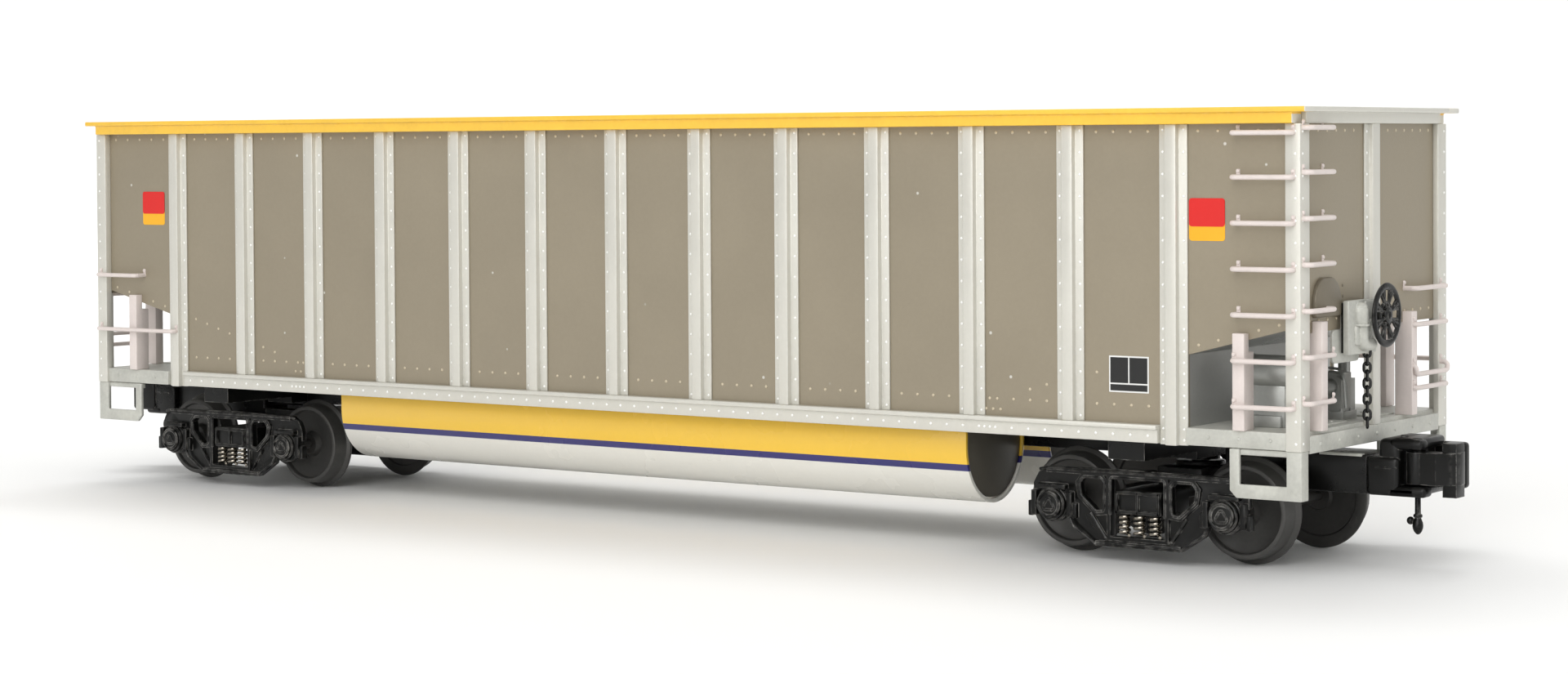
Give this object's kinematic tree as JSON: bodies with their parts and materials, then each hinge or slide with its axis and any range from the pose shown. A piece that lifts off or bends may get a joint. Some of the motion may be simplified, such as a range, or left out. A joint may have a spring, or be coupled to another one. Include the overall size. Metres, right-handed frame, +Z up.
{
  "type": "model open hopper wagon",
  "caption": "Model of an open-top coal wagon with ribbed sides, twin rounded tubs under the floor, swivelling trucks, turning wheelsets and couplers with hinged knuckles.",
  "frame": {"origin": "on the centre line midway between the couplers, at the bottom of the wheel flanges", "axes": "+X along the wagon towards the brake end, +Z up"},
  "size_m": [0.3634, 0.0694, 0.088],
  "materials": {
    "taupe_sheet": "satin",
    "tub_enamel": "gloss",
    "dark_plate": "matte",
    "black_underframe": "matte",
    "silver_frame": "satin",
    "yellow_enamel": "satin",
    "pale_iron": "satin",
    "black_gloss": "gloss",
    "grey_gear": "satin",
    "truck_black": "satin",
    "spring_steel": "bright",
    "wheel_black": "semi-gloss"
  },
  "bodies": {
    "wagon_body": {"side_sheet_right": "taupe_sheet", "side_sheet_left": "taupe_sheet", "end_sheet_brake_end": "taupe_sheet", "end_sheet_plain_end": "taupe_sheet", "slope_sheet_brake_end": "taupe_sheet", "slope_sheet_plain_end": "taupe_sheet", "floor_sheet": "taupe_sheet", "tub_right": "tub_enamel", "tub_left": "tub_enamel", "tub_end_plates": "dark_plate", "centre_sill": "black_underframe", "body_bolster_brake_end": "black_underframe", "body_bolster_plain_end": "black_underframe", "side_sill_right": "silver_frame", "side_sill_left": "silver_frame", "platform_brake_end": "silver_frame", "platform_plain_end": "silver_frame", "side_posts_right": "silver_frame", "side_posts_left": "silver_frame", "corner_posts": "silver_frame", "end_posts": "silver_frame", "side_chord_right": "yellow_enamel", "side_chord_left": "yellow_enamel", "end_chord_brake_end": "silver_frame", "end_chord_plain_end": "silver_frame", "ladder_stiles": "pale_iron", "ladder_right": "pale_iron", "ladder_left": "pale_iron", "grab_irons_right": "pale_iron", "grab_irons_left": "pale_iron", "steps_brake_end": "silver_frame", "steps_plain_end": "silver_frame", "brake_wheel": "black_gloss", "brake_housing": "grey_gear", "brake_chain": "black_gloss", "air_reservoir": "grey_gear", "reservoir_mount": "grey_gear", "control_valve": "grey_gear"},
    "truck_a": {"truck_a_frame_right": "truck_black", "truck_a_frame_left": "truck_black", "truck_a_bolster": "truck_black", "truck_a_springs": "spring_steel", "truck_a_coupler_arm": "truck_black", "truck_a_coupler_head": "truck_black", "truck_a_coupler_pin": "truck_black"},
    "truck_a_wheels_inner": {"truck_a_wheelset_inner": "wheel_black"},
    "truck_a_wheels_outer": {"truck_a_wheelset_outer": "wheel_black"},
    "truck_a_coupler_knuckle": {"truck_a_knuckle": "truck_black"},
    "truck_b": {"truck_b_frame_right": "truck_black", "truck_b_frame_left": "truck_black", "truck_b_bolster": "truck_black", "truck_b_springs": "spring_steel", "truck_b_coupler_arm": "truck_black", "truck_b_coupler_head": "truck_black", "truck_b_coupler_pin": "truck_black"},
    "truck_b_wheels_inner": {"truck_b_wheelset_inner": "wheel_black"},
    "truck_b_wheels_outer": {"truck_b_wheelset_outer": "wheel_black"},
    "truck_b_coupler_knuckle": {"truck_b_knuckle": "truck_black"}
  },
  "joints": [
    {"name": "truck_a_swivel", "type": "hinge", "parent": "wagon_body", "child": "truck_a", "pos_m": [0.125, 0, 0.018], "axis": [0, 0, 1], "range_deg": [-15, 15]},
    {"name": "truck_a_inner_wheels_spin", "type": "hinge", "parent": "truck_a", "child": "truck_a_wheels_inner", "pos_m": [0.10595, 0, 0.0105], "axis": [0, 1, 0], "continuous": true},
    {"name": "truck_a_outer_wheels_spin", "type": "hinge", "parent": "truck_a", "child": "truck_a_wheels_outer", "pos_m": [0.14405, 0, 0.0105], "axis": [0, 1, 0], "continuous": true},
    {"name": "truck_a_knuckle_swing", "type": "hinge", "parent": "truck_a", "child": "truck_a_coupler_knuckle", "pos_m": [0.1737, -0.0042, 0.0195], "axis": [0, 0, -1], "range_deg": [0, 35]},
    {"name": "truck_b_swivel", "type": "hinge", "parent": "wagon_body", "child": "truck_b", "pos_m": [-0.125, 0, 0.018], "axis": [0, 0, 1], "range_deg": [-15, 15]},
    {"name": "truck_b_inner_wheels_spin", "type": "hinge", "parent": "truck_b", "child": "truck_b_wheels_inner", "pos_m": [-0.10595, 0, 0.0105], "axis": [0, 1, 0], "continuous": true},
    {"name": "truck_b_outer_wheels_spin", "type": "hinge", "parent": "truck_b", "child": "truck_b_wheels_outer", "pos_m": [-0.14405, 0, 0.0105], "axis": [0, 1, 0], "continuous": true},
    {"name": "truck_b_knuckle_swing", "type": "hinge", "parent": "truck_b", "child": "truck_b_coupler_knuckle", "pos_m": [-0.1737, 0.0042, 0.0195], "axis": [0, 0, -1], "range_deg": [0, 35]}
  ]
}
